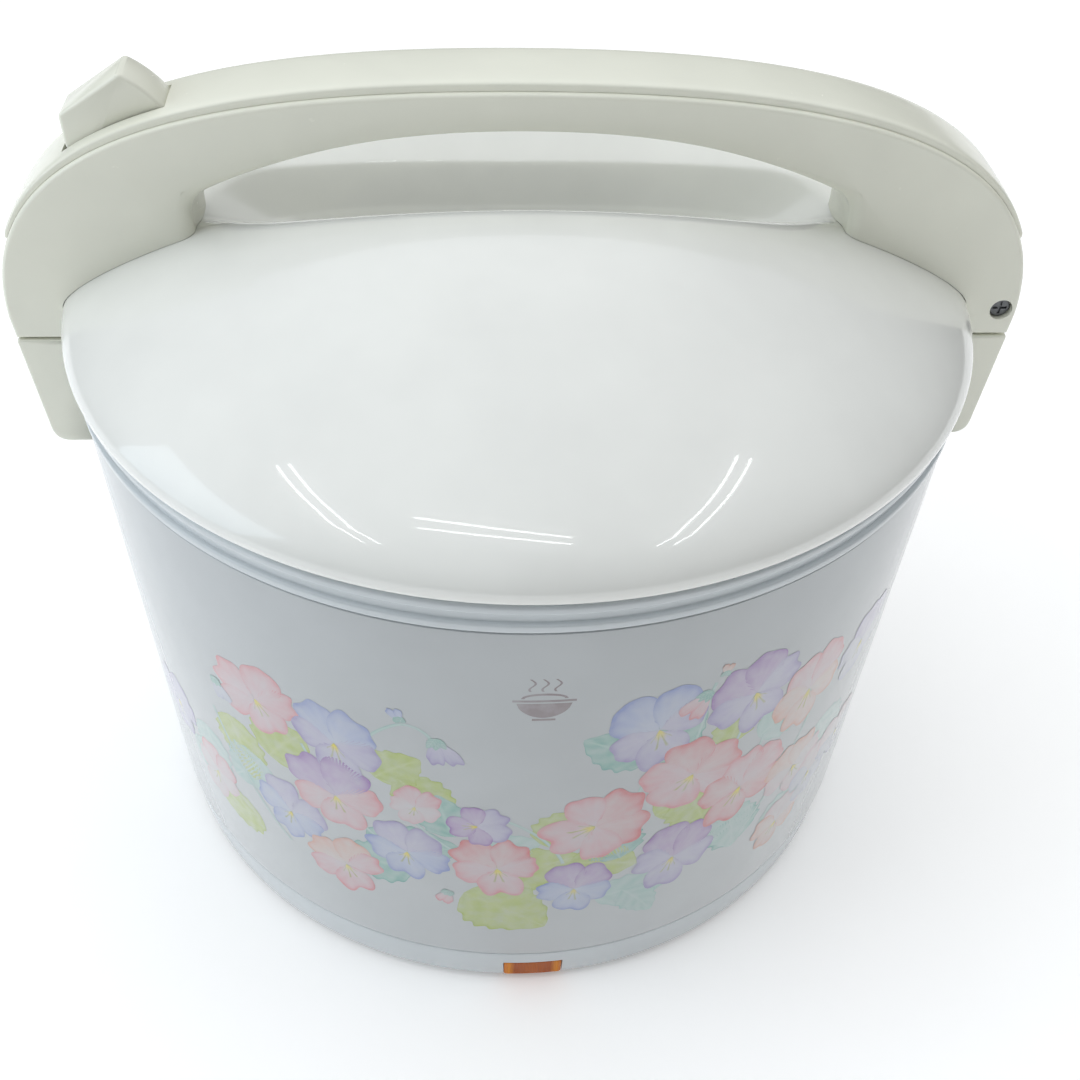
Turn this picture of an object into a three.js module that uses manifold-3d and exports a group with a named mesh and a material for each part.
// Jar-type electric rice cooker: a tapered round body, a domed lid with a fixed arch handle that is
// hinged on one side and latched on the other, a lift-out pot and a cast heater below it.
// Millimetres, +Z up. The origin is on the floor, on the axis of the round body. +X points to the
// hinge, -X to the latch and the push button, -Y to the front with the pilot lamp.
import * as THREE from 'three';
import { mergeVertices } from 'three/addons/utils/BufferGeometryUtils.js';
import Module from 'manifold-3d';

const wasm = await Module();
wasm.setup();

// ---- driving dimensions -------------------------------------------------------------------------
const GAP = 0.3;                       // between touching pieces
const FINE = 40;                       // segments round a large ring
const MEDIUM = 24;                     // segments round a plain inner disc
const SMALL = 16;                      // segments round a small one

const FOOT_TOP = 5.7;
const BASE_BOTTOM = 4;                 // lower edge of the base ring
const BASE_TOP = 20.8;                 // seam between base ring and shell
const BASE_R_BOTTOM = 131.4;
const BASE_R_TOP = 133.3;
const SHELL_BOTTOM = 21.1;
const SHELL_TOP = 188.1;
const SHELL_R_BOTTOM = 133.5;
const SHELL_R_TOP = 140;
const SHELL_WALL = 1;
const RIM_BOTTOM = 188.5;
const RIM_TOP = 198.5;
const BEAD_R = 140.6;
const RIM_MOUTH_R = 118;               // opening that the pot drops through

const LID_EDGE_Z = 200.3;              // lower edge of the lid cover
const LID_EDGE_R = 141.2;
const LID_MAX_R = 142.3;
const DOME_TOP = 249;                  // where the dome would close without its trough
const DOME_RADIUS = 256;               // sphere that the dome is part of
const DOME_SHOULDER_R = 133;           // where the sphere rounds over into the edge
const LID_WALL = 2.4;
const TROUGH_HALF_LENGTH = 118;        // finger trough under the handle, measured at its lip
const TROUGH_HALF_WIDTH = 31.5;
const TROUGH_SQUARENESS = 3.4;         // 2 would be a plain ellipse in plan
const TROUGH_FLOOR = 211;

const HANDLE_HALF_DEPTH = 14;
const HANDLE_HALF_SPAN = 159.3;
const HANDLE_SEAM_TOP = 272.8;         // joint between handle frame and cap at mid span
const ARCH_UNDERSIDE = 261.5;
const LEG_INNER_X = 96.5;
const LEG_BOTTOM = 191.6;
const HANDLE_WALL = 2.6;
const CAP_HEIGHT = 2.9;
const CAP_HALF_DEPTH = 12.2;
const CAP_END = 0.835;                 // how far along each half of the seam the cap reaches

const PIN_X = 153.7;                   // lid hinge axis, along Y
const PIN_Z = 201.3;
const KNUCKLE_HALF = 5.5;
const BRACKET_BOTTOM = 150.7;

const BUTTON_PIVOT = [-127.5, 247.5];  // X, Z of the rocker's axis
const BUTTON_RADIUS = 30.4;            // its free end is an arc about the pivot
const LATCH_PIVOT = [-149.6, 223];
const POT_R = 108.5;
const POT_BOTTOM = 58;
const POT_FLANGE_Z = 191;
const HOUSING_R = 112.5;
const VENT_Y = 92;
const VENT_SEAT = 222;                 // where the steam vent cap rests on its tube

// ---- materials ----------------------------------------------------------------------------------
const look = (color, roughness, metalness = 0) =>
  new THREE.MeshStandardMaterial({ color, roughness, metalness });
const MAT = {
  lidPlastic: look(0xdfe1da, 0.12),
  handlePlastic: look(0xd3d3c4, 0.2),
  rimPlastic: look(0xd6dfe0, 0.2),
  shell: look(0xdbe4ec, 0.18),
  rubber: look(0x3a3a3c, 0.8),
  gasket: look(0xcfcfc8, 0.7),
  steel: look(0x9a9ca0, 0.35, 1),
  darkSteel: look(0x55575a, 0.5, 1),
  aluminium: look(0xb9bcc0, 0.4, 1),
  potCoat: look(0xa7aaac, 0.45, 1),
  wool: look(0xe4dcc0, 0.95),
  lamp: look(0xd06a1c, 0.25),
  brass: look(0xb89a4a, 0.35, 1),
  bakelite: look(0x2c2826, 0.6),
};

// ---- solids -------------------------------------------------------------------------------------
function solid(source) {
  const plain = source.index ? source.clone() : source;
  plain.deleteAttribute('normal');
  plain.deleteAttribute('uv');
  const merged = mergeVertices(plain, 1e-3);
  const triangles = [];
  const index = merged.index.array;
  for (let i = 0; i < index.length; i += 3) {
    const [a, b, c] = [index[i], index[i + 1], index[i + 2]];
    if (a !== b && b !== c && c !== a) triangles.push(a, b, c);
  }
  const points = merged.attributes.position.array;
  if (signedVolume(points, triangles) < 0) triangles.reverse();
  const mesh = new wasm.Mesh({
    numProp: 3,
    vertProperties: new Float32Array(points),
    triVerts: new Uint32Array(triangles),
  });
  return new wasm.Manifold(mesh);
}

function signedVolume(points, triangles) {
  const [a, b, c] = [new THREE.Vector3(), new THREE.Vector3(), new THREE.Vector3()];
  let volume = 0;
  for (let i = 0; i < triangles.length; i += 3) {
    a.fromArray(points, 3 * triangles[i]);
    b.fromArray(points, 3 * triangles[i + 1]);
    c.fromArray(points, 3 * triangles[i + 2]);
    volume += a.dot(b.cross(c));
  }
  return volume;
}

// a closed ring or disc from [radius, z] corners
function turned(profile, segments = FINE) {
  const corners = profile.map(([r, z]) => new THREE.Vector2(r, z));
  const onAxis = profile[0][0] === 0 && profile.at(-1)[0] === 0;
  if (!onAxis) corners.push(corners[0].clone());
  return solid(new THREE.LatheGeometry(corners, segments).rotateX(Math.PI / 2));
}

// a rectangular section turned about Z
function ring(inner, outer, low, high, segments = FINE) {
  return turned([[inner, low], [outer, low], [outer, high], [inner, high]], segments);
}

function block(x0, x1, y0, y1, z0, z1) {
  const box = new THREE.BoxGeometry(x1 - x0, y1 - y0, z1 - z0);
  return solid(box.translate((x0 + x1) / 2, (y0 + y1) / 2, (z0 + z1) / 2));
}

function upright(radius, low, high, x = 0, y = 0, segments = SMALL) {
  const rod = new THREE.CylinderGeometry(radius, radius, high - low, segments);
  return solid(rod.rotateX(Math.PI / 2).translate(x, y, (low + high) / 2));
}

// a rod along Y through the point x, z
function crossRod(radius, x, z, y0, y1, segments = SMALL) {
  const rod = new THREE.CylinderGeometry(radius, radius, y1 - y0, segments);
  return solid(rod.translate(x, (y0 + y1) / 2, z));
}

// a rod along X through the point y, z
function sideRod(radius, y, z, x0, x1, segments = SMALL) {
  const rod = new THREE.CylinderGeometry(radius, radius, x1 - x0, segments);
  return solid(rod.rotateZ(Math.PI / 2).translate((x0 + x1) / 2, y, z));
}

// an outline in the X-Z plane, given thickness along Y
function slab(shape, y0, y1, curveSegments = 12) {
  const plate = new THREE.ExtrudeGeometry(shape, { depth: y1 - y0, bevelEnabled: false, curveSegments });
  return solid(plate.rotateX(Math.PI / 2).translate(0, y1, 0));
}

const outline = (corners) => new THREE.Shape(corners.map(([x, z]) => new THREE.Vector2(x, z)));
const mirrorX = (body) => body.mirror([1, 0, 0]);
const union = (bodies) => bodies.reduce((whole, next) => whole.add(next));

// what is left of a body when every wall facing X, Y or down is peeled off by a thickness
function core(body, wall) {
  const shifts = [[wall, 0, 0], [-wall, 0, 0], [0, wall, 0], [0, -wall, 0], [0, 0, wall]];
  return shifts.reduce((rest, shift) => rest.intersect(body.translate(shift)), body);
}

// ---- assembly helpers ---------------------------------------------------------------------------
const cooker = new THREE.Group();

function add(name, body, material) {
  const raw = body.getMesh();
  const geometry = new THREE.BufferGeometry();
  geometry.setAttribute('position', new THREE.BufferAttribute(new Float32Array(raw.vertProperties), 3));
  geometry.setIndex(new THREE.BufferAttribute(new Uint32Array(raw.triVerts), 1));
  geometry.computeVertexNormals();
  const mesh = new THREE.Mesh(geometry, material);
  mesh.name = name;
  cooker.add(mesh);
}

// ---- shared outlines ----------------------------------------------------------------------------
const domeHeight = (r) => DOME_TOP - DOME_RADIUS + Math.sqrt(DOME_RADIUS ** 2 - r ** 2);

// the closed dome, grown or shrunk by an offset, without its trough
function dome(offset, bottom) {
  const sphere = DOME_RADIUS + offset;
  const top = DOME_TOP + offset;
  const profile = [[0, bottom], [LID_EDGE_R + offset, bottom], [LID_EDGE_R + offset, LID_EDGE_Z]];
  profile.push([LID_MAX_R + offset, LID_EDGE_Z + 2.6]);
  profile.push([LID_MAX_R - 0.6 + offset, LID_EDGE_Z + 5]);
  profile.push([LID_MAX_R - 3 + offset * 0.85, LID_EDGE_Z + 8.4 + offset * 0.5]);
  const shoulder = DOME_SHOULDER_R;
  const rings = 5;
  for (let i = rings; i >= 0; i--) {
    const r = shoulder * i / rings;
    profile.push([r, top - sphere + Math.sqrt(sphere ** 2 - r ** 2)]);
  }
  return turned(profile);
}

// finger trough: a turned section stretched along X and squared off toward the two legs
function troughCutter(offset) {
  const section = [[0, 0], [18, 0], [22.5, 2.5], [25, 7], [26.3, 18], [27.6, 29], [31.5, 35.5], [36, 38.5]];
  const profile = section.map(([r, z]) => [r === 0 ? 0 : r + offset, TROUGH_FLOOR + z - offset]);
  profile.push([36 + offset, DOME_TOP + 12], [0, DOME_TOP + 12]);
  return turned(profile, 32).warp((point) => {
    const [x, y] = point;
    const r = Math.hypot(x, y);
    if (r === 0) return;
    const n = TROUGH_SQUARENESS;
    const grow = (Math.abs(x / r) ** n + Math.abs(y / r) ** n) ** (-1 / n);
    point[0] = x * grow * TROUGH_HALF_LENGTH / TROUGH_HALF_WIDTH;
    point[1] = y * grow;
  });
}

// everything that the handle legs and the brackets have to stand clear of
const clearance = 0.4;
const bodyEnvelope = turned([
  [0, BRACKET_BOTTOM - 10], [138.6, BRACKET_BOTTOM - 10], [SHELL_R_TOP + clearance, RIM_BOTTOM - 1],
  [BEAD_R + clearance, RIM_BOTTOM], [BEAD_R + clearance, RIM_TOP + 0.5], [0, RIM_TOP + 0.5],
]);
const lidEnvelope = dome(clearance, LID_EDGE_Z - 2).subtract(troughCutter(-clearance));

// ---- base ---------------------------------------------------------------------------------------
const LAMP_X = 2.4;
const LAMP_HALF = 10.3;
const LAMP_TOP = 13.4;
const INLET_HALF = 16;
const SCREW_CIRCLE = 118;
const WEB_LOW = 16;
const WEB_HIGH = 18.5;
const COVER_LOW = 6;
const COVER_HIGH = 7.2;
const aroundBase = (count, radius, phase) =>
  Array.from({ length: count }, (_, i) => {
    const angle = phase + (2 * Math.PI * i) / count;
    return [radius * Math.cos(angle), radius * Math.sin(angle)];
  });
const screwSpots = aroundBase(3, SCREW_CIRCLE, 0);
const footSpots = aroundBase(4, 106, Math.PI / 4);

function baseTray() {
  let tray = turned([
    [BASE_R_BOTTOM - 2.4, BASE_BOTTOM], [BASE_R_BOTTOM - 0.6, BASE_BOTTOM], [BASE_R_BOTTOM, BASE_BOTTOM + 1],
    [BASE_R_TOP, BASE_TOP - 0.8], [BASE_R_TOP - 0.6, BASE_TOP], [127, BASE_TOP], [127, WEB_HIGH],
    [62, WEB_HIGH], [62, WEB_LOW], [BASE_R_BOTTOM - 2, WEB_LOW],
  ]);
  for (const [x, y] of screwSpots) tray = tray.add(upright(4.5, COVER_HIGH + GAP, WEB_LOW + 1, x, y));
  for (const [x, y] of screwSpots) tray = tray.subtract(upright(1.9, 0, WEB_HIGH + 1, x, y));
  tray = tray.subtract(block(LAMP_X - LAMP_HALF, LAMP_X + LAMP_HALF, -140, -124, 0, LAMP_TOP));
  tray = tray.subtract(block(-INLET_HALF - GAP, INLET_HALF + GAP, 103, 140, COVER_HIGH, 19.1));
  for (const [x, y] of aroundBase(8, 88, Math.PI / 8)) tray = tray.subtract(upright(5, 10, 20, x, y, 8));
  return tray;
}
add('base_tray', baseTray(), MAT.rimPlastic);

function bottomCover() {
  let plate = turned([[0, COVER_LOW], [127.5, COVER_LOW], [127.5, COVER_HIGH], [0, COVER_HIGH]]);
  for (const [x, y] of screwSpots) plate = plate.subtract(upright(2, 0, 20, x, y));
  for (const [x, y] of footSpots) plate = plate.subtract(upright(2.3, 0, 20, x, y));
  for (let i = -3; i <= 3; i++) plate = plate.subtract(block(i * 12 - 2, i * 12 + 2, -40, 40, 0, 20));
  return plate;
}
add('bottom_cover', bottomCover(), MAT.darkSteel);

footSpots.forEach(([x, y], i) => {
  const pad = turned([[0, 0], [9, 0], [10.5, FOOT_TOP], [0, FOOT_TOP]], SMALL).translate([x, y, 0]);
  add(`foot_${i + 1}`, pad.add(upright(2, FOOT_TOP - 1, 9.5, x, y, 12)), MAT.rubber);
});

screwSpots.forEach(([x, y], i) => {
  const screw = upright(3.4, COVER_LOW - 1.7, COVER_LOW - GAP, x, y).add(upright(1.6, COVER_LOW - 1, 15, x, y, 12));
  add(`bottom_screw_${i + 1}`, screw, MAT.steel);
});

// ---- pilot lamp ---------------------------------------------------------------------------------
const lensWall = turned([[128.2, 4.2], [131.5, 4.2], [132.5, 13.2], [129.2, 13.2]]);
const lensWindow = block(LAMP_X - LAMP_HALF + GAP, LAMP_X + LAMP_HALF - GAP, -140, -120, 4, LAMP_TOP - 0.25);
add('lamp_lens', lensWall.intersect(lensWindow), MAT.lamp);
add('neon_lamp', sideRod(2.2, -121.6, 10.6, LAMP_X - 6, LAMP_X + 6, 16), MAT.lamp);
const lampBox = block(LAMP_X - 9, LAMP_X + 9, -125.8, -117.4, 7.6, 14.6);
add('lamp_holder', lampBox.subtract(block(LAMP_X - 7, LAMP_X + 7, -130, -119, 8.1, 13.1)), MAT.bakelite);

// ---- power inlet --------------------------------------------------------------------------------
const inletShell = block(-INLET_HALF, INLET_HALF, 104, 129.8, COVER_HIGH + GAP, 18.8);
const inletMouth = block(-13.6, 13.6, 108, 131, 9.3, 17);
const pinX = [-7, 7];
const inletBody = inletShell.subtract(inletMouth)
  .subtract(union(pinX.map((x) => crossRod(2.4, x, 13.1, 100, 110, 12))));
add('power_inlet', inletBody, MAT.bakelite);
pinX.forEach((x, i) => add(`inlet_pin_${i + 1}`, crossRod(2, x, 13.1, 101, 123, 12), MAT.brass));

// ---- shell and rim ------------------------------------------------------------------------------
const BRACKET_SCREW_Z = [162, 179];
const screwThrough = (radius, z, x0, x1) => sideRod(radius, 0, z, x0, x1, 16);
function outerShell() {
  let shell = turned([
    [SHELL_R_BOTTOM - SHELL_WALL, SHELL_BOTTOM], [SHELL_R_BOTTOM, SHELL_BOTTOM],
    [SHELL_R_TOP, SHELL_TOP], [SHELL_R_TOP - SHELL_WALL, SHELL_TOP],
  ]);
  for (const z of BRACKET_SCREW_Z) shell = shell.subtract(screwThrough(2.3, z, -150, 150));
  return shell;
}
add('outer_shell', outerShell(), MAT.shell);

add('rim_frame', turned([
  [136.2, 183], [137.8, 183], [138.2, RIM_BOTTOM], [BEAD_R - 0.4, RIM_BOTTOM], [BEAD_R, RIM_BOTTOM + 1.3],
  [BEAD_R - 0.5, RIM_BOTTOM + 2.7], [BEAD_R - 1.4, RIM_BOTTOM + 3.3], [BEAD_R - 1.4, RIM_TOP - 3.5],
  [BEAD_R - 0.4, RIM_TOP - 2.9], [BEAD_R, RIM_TOP - 1.6], [BEAD_R - 0.6, RIM_TOP - 0.3],
  [BEAD_R - 1.6, RIM_TOP], [RIM_MOUTH_R + 0.6, RIM_TOP], [RIM_MOUTH_R, RIM_TOP - 0.8],
  [RIM_MOUTH_R, 194], [120, 194], [120, 196.2], [136.2, 196.2],
]), MAT.rimPlastic);

// ---- inside the body ----------------------------------------------------------------------------
const HOUSING_FLOOR = 34;
add('inner_housing', turned([
  [5.4, HOUSING_FLOOR], [HOUSING_R, HOUSING_FLOOR], [HOUSING_R, 189.4], [119.5, 189.4], [119.5, 193.6],
  [118.7, 193.6], [118.7, 190.4], [HOUSING_R - 1.2, 190.4], [HOUSING_R - 1.2, HOUSING_FLOOR + 1.2],
  [5.4, HOUSING_FLOOR + 1.2],
]), MAT.aluminium);

add('insulation_blanket', turned([
  [117, 46], [126, 46], [130.5, 178], [117, 178],
]), MAT.wool);
add('band_heater', ring(HOUSING_R + GAP, HOUSING_R + 1.8, 104, 136), MAT.darkSteel);
add('heat_shield', turned([
  [9, 19], [66, 19], [66, 19.8], [9, 19.8],
], MEDIUM), MAT.aluminium);
add('heater_support_ring', ring(70, 72, HOUSING_FLOOR + 1.5, 49.3, MEDIUM), MAT.darkSteel);
add('heater_plate', turned([
  [17, 49.6], [86, 49.6], [88, 52], [88, 57], [87.3, 57.7], [17, 57.7],
]), MAT.aluminium);
const elementSection = Array.from({ length: 6 }, (_, i) => [
  56 + 3.8 * Math.cos((i * Math.PI) / 3), 45.4 + 3.8 * Math.sin((i * Math.PI) / 3),
]);
add('heater_element', turned(elementSection, MEDIUM), MAT.darkSteel);
add('sensor_cap', turned([
  [0, 28], [4.4, 28], [4.4, 55.2], [12.3, 55.2], [12.3, 50], [14, 50], [14, 56.9], [13.2, 57.7], [0, 57.7],
], SMALL), MAT.aluminium);
add('sensor_spring', ring(6, 8.6, HOUSING_FLOOR + 1.5, 54.9, SMALL), MAT.steel);
add('thermostat_body', block(24, 50, -11, 11, 22.6, 33.7), MAT.bakelite);
add('thermal_fuse', sideRod(3, 34, 28.5, -14, 14, 16), MAT.brass);
add('terminal_block', block(-20, 20, 76, 96, 18.8, 31), MAT.bakelite);

add('inner_pot', turned([
  [0, POT_BOTTOM], [88, POT_BOTTOM], [97, POT_BOTTOM + 1.6], [104.6, POT_BOTTOM + 7.2], [POT_R, POT_BOTTOM + 16],
  [POT_R, POT_FLANGE_Z], [117.3, POT_FLANGE_Z], [117.3, POT_FLANGE_Z + 1.6], [POT_R - 1, POT_FLANGE_Z + 1.6],
  [POT_R - 2, POT_FLANGE_Z + 0.6], [POT_R - 2, POT_BOTTOM + 16.6], [103, POT_BOTTOM + 9],
  [96, POT_BOTTOM + 3.6], [87.5, POT_BOTTOM + 2], [0, POT_BOTTOM + 2],
]), MAT.potCoat);

// ---- brackets on the body -----------------------------------------------------------------------
function bracketOutline() {
  const shape = new THREE.Shape();
  shape.moveTo(136, BRACKET_BOTTOM);
  shape.lineTo(149.5, BRACKET_BOTTOM);
  shape.quadraticCurveTo(154.6, BRACKET_BOTTOM, 155.3, BRACKET_BOTTOM + 5);
  shape.lineTo(158.6, LEG_BOTTOM - 0.4);
  shape.lineTo(136, LEG_BOTTOM - 0.4);
  return shape;
}
const bracketBlank = slab(bracketOutline(), -HANDLE_HALF_DEPTH, HANDLE_HALF_DEPTH, 5).subtract(bodyEnvelope);
const screwBores = union(BRACKET_SCREW_Z.map((z) => screwThrough(2, z, 130, 151)));

function hingeBracket() {
  const neck = block(PIN_X - 3.3, PIN_X + 3.3, -KNUCKLE_HALF, KNUCKLE_HALF, 186, PIN_Z);
  const knuckle = crossRod(5.2, PIN_X, PIN_Z, -KNUCKLE_HALF, KNUCKLE_HALF);
  const bore = crossRod(2.25, PIN_X, PIN_Z, -20, 20);
  return bracketBlank.add(neck).add(knuckle).subtract(bore).subtract(bodyEnvelope).subtract(screwBores);
}
add('hinge_bracket', hingeBracket(), MAT.handlePlastic);

// the latch hook drops into a pocket, beside a steel catch plate
const POCKET = { x0: -156.6, x1: -147, half: 6.4, floor: 181.5 };
const pocketCut = block(POCKET.x0, POCKET.x1, -POCKET.half, POCKET.half, POCKET.floor, 200);
add('latch_bracket', mirrorX(bracketBlank).subtract(mirrorX(screwBores)).subtract(pocketCut), MAT.handlePlastic);
add('catch_plate', block(-148.9, -147.3, -5.8, 5.8, 182, 189.8), MAT.steel);

const bracketSides = [['hinge', 1], ['latch', -1]];
for (const [side, direction] of bracketSides) {
  BRACKET_SCREW_Z.forEach((z, i) => {
    const slope = (SHELL_R_TOP - SHELL_R_BOTTOM) / (SHELL_TOP - SHELL_BOTTOM);
    const inner = SHELL_R_BOTTOM + (z - 3.6 - SHELL_BOTTOM) * slope - SHELL_WALL - 2 * GAP;
    const shank = screwThrough(1.7, z, inner - 1, 150);
    const screw = screwThrough(3.6, z, inner - 2, inner).add(shank);
    add(`${side}_bracket_screw_${i + 1}`, direction > 0 ? screw : mirrorX(screw), MAT.steel);
  });
}

// ---- lid ----------------------------------------------------------------------------------------
const LEG_SCREW_X = 111;
const ventBore = upright(13.4, 190, 260, 0, VENT_Y, 24);
function lidCover() {
  const outside = dome(0, LID_EDGE_Z).subtract(troughCutter(0));
  const inside = dome(-LID_WALL, LID_EDGE_Z - 5).subtract(troughCutter(LID_WALL));
  const bores = union([-1, 1].map((side) => upright(2.3, 190, 260, side * LEG_SCREW_X, 0, 16)));
  return outside.subtract(inside).subtract(ventBore).subtract(bores);
}
add('lid_cover', lidCover(), MAT.lidPlastic);

const UNDERFRAME = { low: 198.9, high: 201.2, inner: 108 };
function lidUnderframe() {
  const band = turned([
    [UNDERFRAME.inner, UNDERFRAME.low], [139.2, UNDERFRAME.low], [139.2, 199.9], [138, 199.9],
    [138, 205], [136.4, 205], [136.4, UNDERFRAME.high], [UNDERFRAME.inner, UNDERFRAME.high],
  ]);
  const tab = block(-6, 6, -139.9, -137, UNDERFRAME.low, 200);
  return band.add(tab);
}
add('lid_underframe', lidUnderframe(), MAT.rimPlastic);

add('lid_gasket', turned([
  [110.4, 193], [112.6, 192.9], [116.8, 195.4], [116.8, 198.5], [110.4, 198.5],
]), MAT.gasket);
const tubeHole = upright(8.4, 190, 215, 0, VENT_Y, SMALL);
add('inner_lid_plate', turned([
  [0, 193.4], [3.2, 193.4], [110, 193.4], [110, 196.6], [108.8, 196.6], [108.8, 194.4], [0, 194.4],
]).subtract(tubeHole).subtract(upright(2.4, 190, 200, 0, 0, 16)), MAT.aluminium);
add('inner_lid_knob', turned([
  [0, 186], [8, 186], [10, 188], [10, 193.1], [2, 193.1], [2, 199.4], [0, 199.4],
], SMALL), MAT.bakelite);
add('lid_heater', turned([[4, 199.8], [95, 199.8], [95, 200.8], [4, 200.8]], MEDIUM)
  .subtract(upright(15, 190, 215, 0, VENT_Y, SMALL)), MAT.darkSteel);
add('lid_insulation', turned([[4, 202], [104, 202], [104, 205.6], [4, 205.6]], MEDIUM)
  .subtract(upright(15, 190, 215, 0, VENT_Y, SMALL)), MAT.wool);
add('steam_tube', ring(6, 8, 193.6, VENT_SEAT, SMALL).add(ring(7, 12.9, VENT_SEAT - 2.6, VENT_SEAT, SMALL))
  .translate([0, VENT_Y, 0]), MAT.gasket);
add('steam_vent_cap', turned([
  [0, VENT_SEAT + 0.5], [12.6, VENT_SEAT + 0.5], [12.6, VENT_SEAT + 8], [12.2, VENT_SEAT + 11.6],
  [10, VENT_SEAT + 12.8], [0, VENT_SEAT + 13.4],
], 24).subtract(union(aroundBase(5, 6.5, 0).map(([x, y]) => upright(1.1, 220, 245, x, y, 6))))
  .translate([0, VENT_Y, 0]), MAT.lidPlastic);

// ---- handle -------------------------------------------------------------------------------------
// the upper seam of the handle frame, from mid span out to the leg, as one cubic
function seamCurve(shape, direction) {
  if (direction > 0) {
    shape.bezierCurveTo(92.5, HANDLE_SEAM_TOP, HANDLE_HALF_SPAN, 259.2, HANDLE_HALF_SPAN, 199.3);
  } else {
    shape.bezierCurveTo(-HANDLE_HALF_SPAN, 259.2, -92.5, HANDLE_SEAM_TOP, 0, HANDLE_SEAM_TOP);
  }
}

function handleOutline() {
  const legFoot = 130;
  const shape = new THREE.Shape();
  shape.moveTo(-legFoot, LEG_BOTTOM);
  shape.lineTo(-158.6, LEG_BOTTOM);
  shape.lineTo(-HANDLE_HALF_SPAN, 199.3);
  seamCurve(shape, -1);
  seamCurve(shape, 1);
  shape.lineTo(158.6, LEG_BOTTOM);
  shape.lineTo(legFoot, LEG_BOTTOM);
  shape.lineTo(LEG_INNER_X, 215);
  shape.lineTo(LEG_INNER_X, 240);
  shape.quadraticCurveTo(LEG_INNER_X, 243.8, 92, 245.6);
  shape.bezierCurveTo(69.2, 254.3, 40.4, ARCH_UNDERSIDE, 0, ARCH_UNDERSIDE);
  shape.bezierCurveTo(-40.4, ARCH_UNDERSIDE, -69.2, 254.3, -92, 245.6);
  shape.quadraticCurveTo(-LEG_INNER_X, 243.8, -LEG_INNER_X, 240);
  shape.lineTo(-LEG_INNER_X, 215);
  return shape;
}

// the hinge leg turns over its bracket, so its foot is rounded about the pin on both sides
function hingeFootCut() {
  const corner = block(PIN_X - 16, PIN_X + 12, -20, 20, LEG_BOTTOM - 6, PIN_Z);
  const outboard = crossRod(9.7, PIN_X, PIN_Z, -21, 21, 32);
  const inboard = crossRod(13.2, PIN_X, PIN_Z, -21, 21, 32)
    .intersect(block(PIN_X - 20, PIN_X, -21, 21, LEG_BOTTOM - 6, PIN_Z + 1));
  return corner.subtract(outboard).subtract(inboard);
}

const handleBlank = slab(handleOutline(), -HANDLE_HALF_DEPTH, HANDLE_HALF_DEPTH, 10)
  .subtract(bodyEnvelope).subtract(lidEnvelope).subtract(hingeFootCut());

function handleFrame() {
  const knuckleRoom = crossRod(6.2, PIN_X, PIN_Z, -KNUCKLE_HALF - 0.4, KNUCKLE_HALF + 0.4)
    .add(block(140, 170, -KNUCKLE_HALF - 0.4, KNUCKLE_HALF + 0.4, 180, PIN_Z))
    .add(block(PIN_X, 170, -KNUCKLE_HALF - 0.4, KNUCKLE_HALF + 0.4, 180, PIN_Z + 4.8));
  const hollow = core(handleBlank, HANDLE_WALL).subtract(block(138, 170, -20, 20, 180, 212));
  const buttonRoom = block(-134.2, -96, -7.4, 7.4, 249, 285).add(block(-132.4, -120, -7.4, 7.4, 246, 260));
  const hookSlot = block(-156.6, -146.4, -6.4, 6.4, 185, 205);
  const rod = (radius, [x, z]) => crossRod(radius, x, z, -20, 20);
  let frame = handleBlank.subtract(hollow).subtract(knuckleRoom).subtract(hookSlot).subtract(buttonRoom);
  frame = frame.subtract(rod(2.25, [PIN_X, PIN_Z])).subtract(crossRod(3.6, PIN_X, PIN_Z, -20, -11.4));
  frame = frame.subtract(crossRod(3.6, PIN_X, PIN_Z, 11.4, 20));
  frame = frame.subtract(crossRod(1.8, ...LATCH_PIVOT, -13, 13, 16));
  frame = frame.subtract(crossRod(1.55, ...BUTTON_PIVOT, -13, 13, 16));
  for (const side of [-1, 1]) frame = frame.subtract(upright(1.9, 190, 240, side * LEG_SCREW_X, 0, 16));
  return frame;
}
add('handle_frame', handleFrame(), MAT.handlePlastic);

const seam = new THREE.CubicBezierCurve(
  new THREE.Vector2(0, HANDLE_SEAM_TOP), new THREE.Vector2(92.5, HANDLE_SEAM_TOP),
  new THREE.Vector2(HANDLE_HALF_SPAN, 259.2), new THREE.Vector2(HANDLE_HALF_SPAN, 199.3),
);

// the cap is a strip along the seam, thinning to nothing much at its two ends
function handleCap() {
  const steps = 14;
  const lower = [];
  const upper = [];
  for (let i = 0; i <= steps; i++) {
    const t = (CAP_END * i) / steps;
    const point = seam.getPoint(t);
    const tangent = seam.getTangent(t);
    const normal = new THREE.Vector2(-tangent.y, tangent.x);
    lower.push(point.clone().addScaledVector(normal, GAP));
    upper.push(point.clone().addScaledVector(normal, CAP_HEIGHT * (1 - 0.55 * (i / steps) ** 4)));
  }
  const flip = (p) => new THREE.Vector2(-p.x, p.y);
  const corners = [
    ...lower.slice(1).reverse().map(flip), ...lower, ...upper.reverse(),
    ...upper.slice(0, -1).reverse().map(flip),
  ];
  const full = slab(new THREE.Shape(corners), -CAP_HALF_DEPTH, CAP_HALF_DEPTH);
  const window = block(-133.6, -127, -7.2, 7.2, 230, 285)
    .add(crossRod(BUTTON_RADIUS + 0.5, ...BUTTON_PIVOT, -7.2, 7.2, 48)
      .intersect(block(-128, -90, -7.2, 7.2, 247, 285)));
  return full.subtract(window);
}
add('handle_cap', handleCap(), MAT.handlePlastic);

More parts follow.
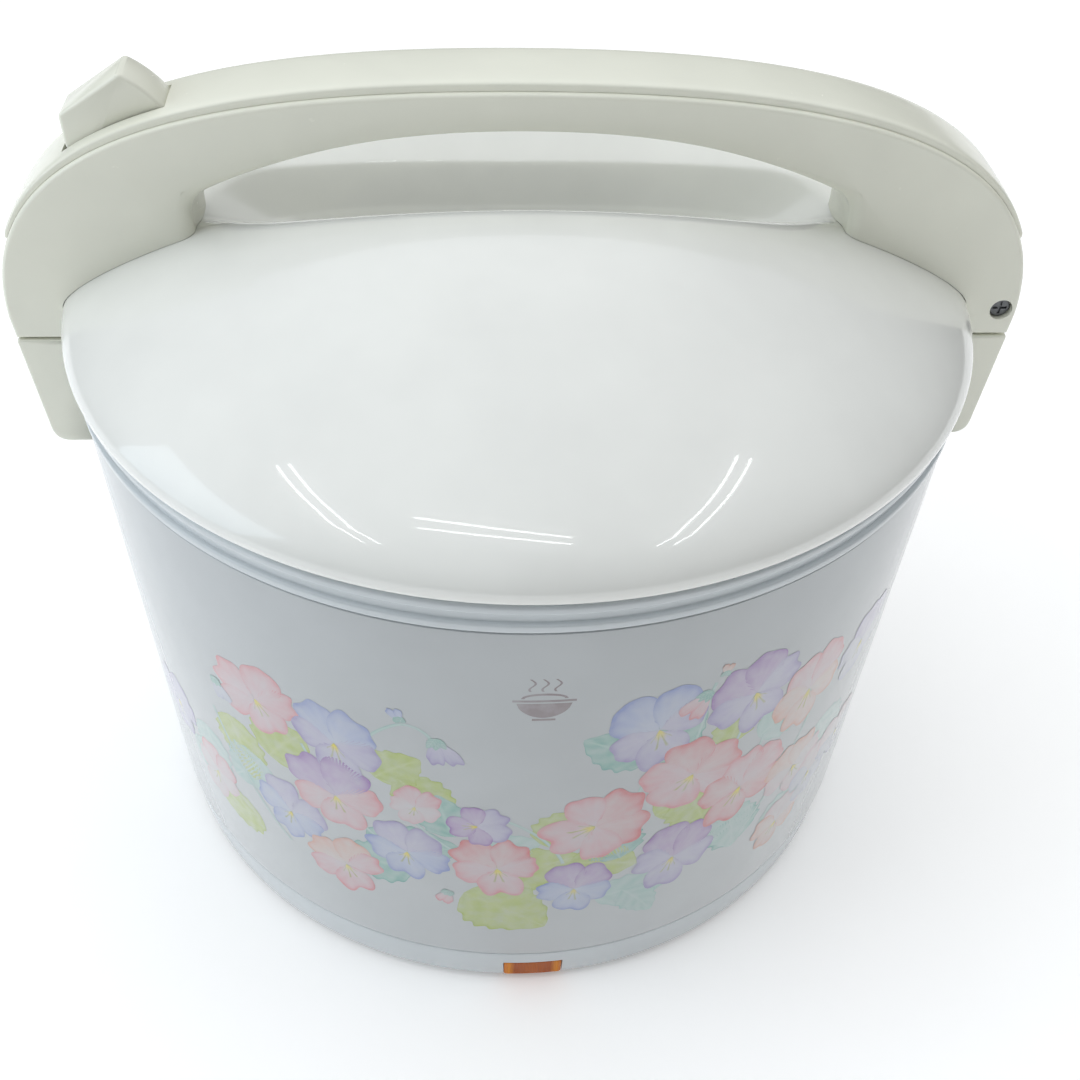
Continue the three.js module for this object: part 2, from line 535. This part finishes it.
add('hinge_pin', union([
  crossRod(2.2, PIN_X, PIN_Z, -12, 12), crossRod(3.3, PIN_X, PIN_Z, -12.6, -11.7),
  crossRod(3.3, PIN_X, PIN_Z, 11.7, 12.6),
]).subtract(block(PIN_X - 1.9, PIN_X + 1.9, -13, -12.1, PIN_Z - 0.5, PIN_Z + 0.5)), MAT.steel);

[-1, 1].forEach((side, i) => {
  const seat = domeHeight(LEG_SCREW_X + 3.8) - LID_WALL - 0.8;
  const screw = upright(3.8, seat - 2, seat, side * LEG_SCREW_X, 0, 16)
    .add(upright(1.6, seat - 1, seat + 10, side * LEG_SCREW_X, 0, 12));
  add(`handle_screw_${i + 1}`, screw, MAT.steel);
});

// ---- button and latch ---------------------------------------------------------------------------
function buttonOutline() {
  const [px, pz] = BUTTON_PIVOT;
  const top = Math.atan2(275 - pz, -113.7 - px);
  const low = 0.3;
  const shape = new THREE.Shape();
  shape.moveTo(-132.6, 262.3);
  shape.lineTo(-132.4, 253.5);
  shape.lineTo(-131, 246.5);
  shape.lineTo(-128.5, 244.3);
  shape.lineTo(-124.5, 245.5);
  shape.lineTo(-122, 252.5);
  shape.lineTo(-110, 252.5);
  shape.lineTo(px + BUTTON_RADIUS * Math.cos(low), pz + BUTTON_RADIUS * Math.sin(low));
  shape.absarc(px, pz, BUTTON_RADIUS, low, top, false);
  return shape;
}
const buttonBore = crossRod(1.6, ...BUTTON_PIVOT, -20, 20, 16);
add('release_button', slab(buttonOutline(), -6.8, 6.8, 8).subtract(buttonBore), MAT.handlePlastic);
add('button_pin', crossRod(1.25, ...BUTTON_PIVOT, -12.6, 12.6, 16), MAT.steel);

function latchLever() {
  const arm = outline([
    [-151.9, 220.5], [-152.2, 189], [-150.6, 187], [-149.3, 189], [-149.3, 208], [-146.6, 216],
    [-141, 226.5], [-114.5, 243.2], [-111.5, 250.5], [-112.6, 252], [-116.5, 249.6],
    [-142, 231.5], [-147.6, 227], [-150.6, 224.2],
  ]);
  return slab(arm, -4, 4).subtract(crossRod(1.9, ...LATCH_PIVOT, -20, 20, 16));
}
add('latch_lever', latchLever(), MAT.darkSteel);
add('latch_pivot_pin', crossRod(1.5, ...LATCH_PIVOT, -12.6, 12.6, 16), MAT.steel);
add('latch_spring', ring(1.6, 2.8, 224.9, 237.6, 12).translate([-119.5, 0, 0]), MAT.steel);

export default cooker;
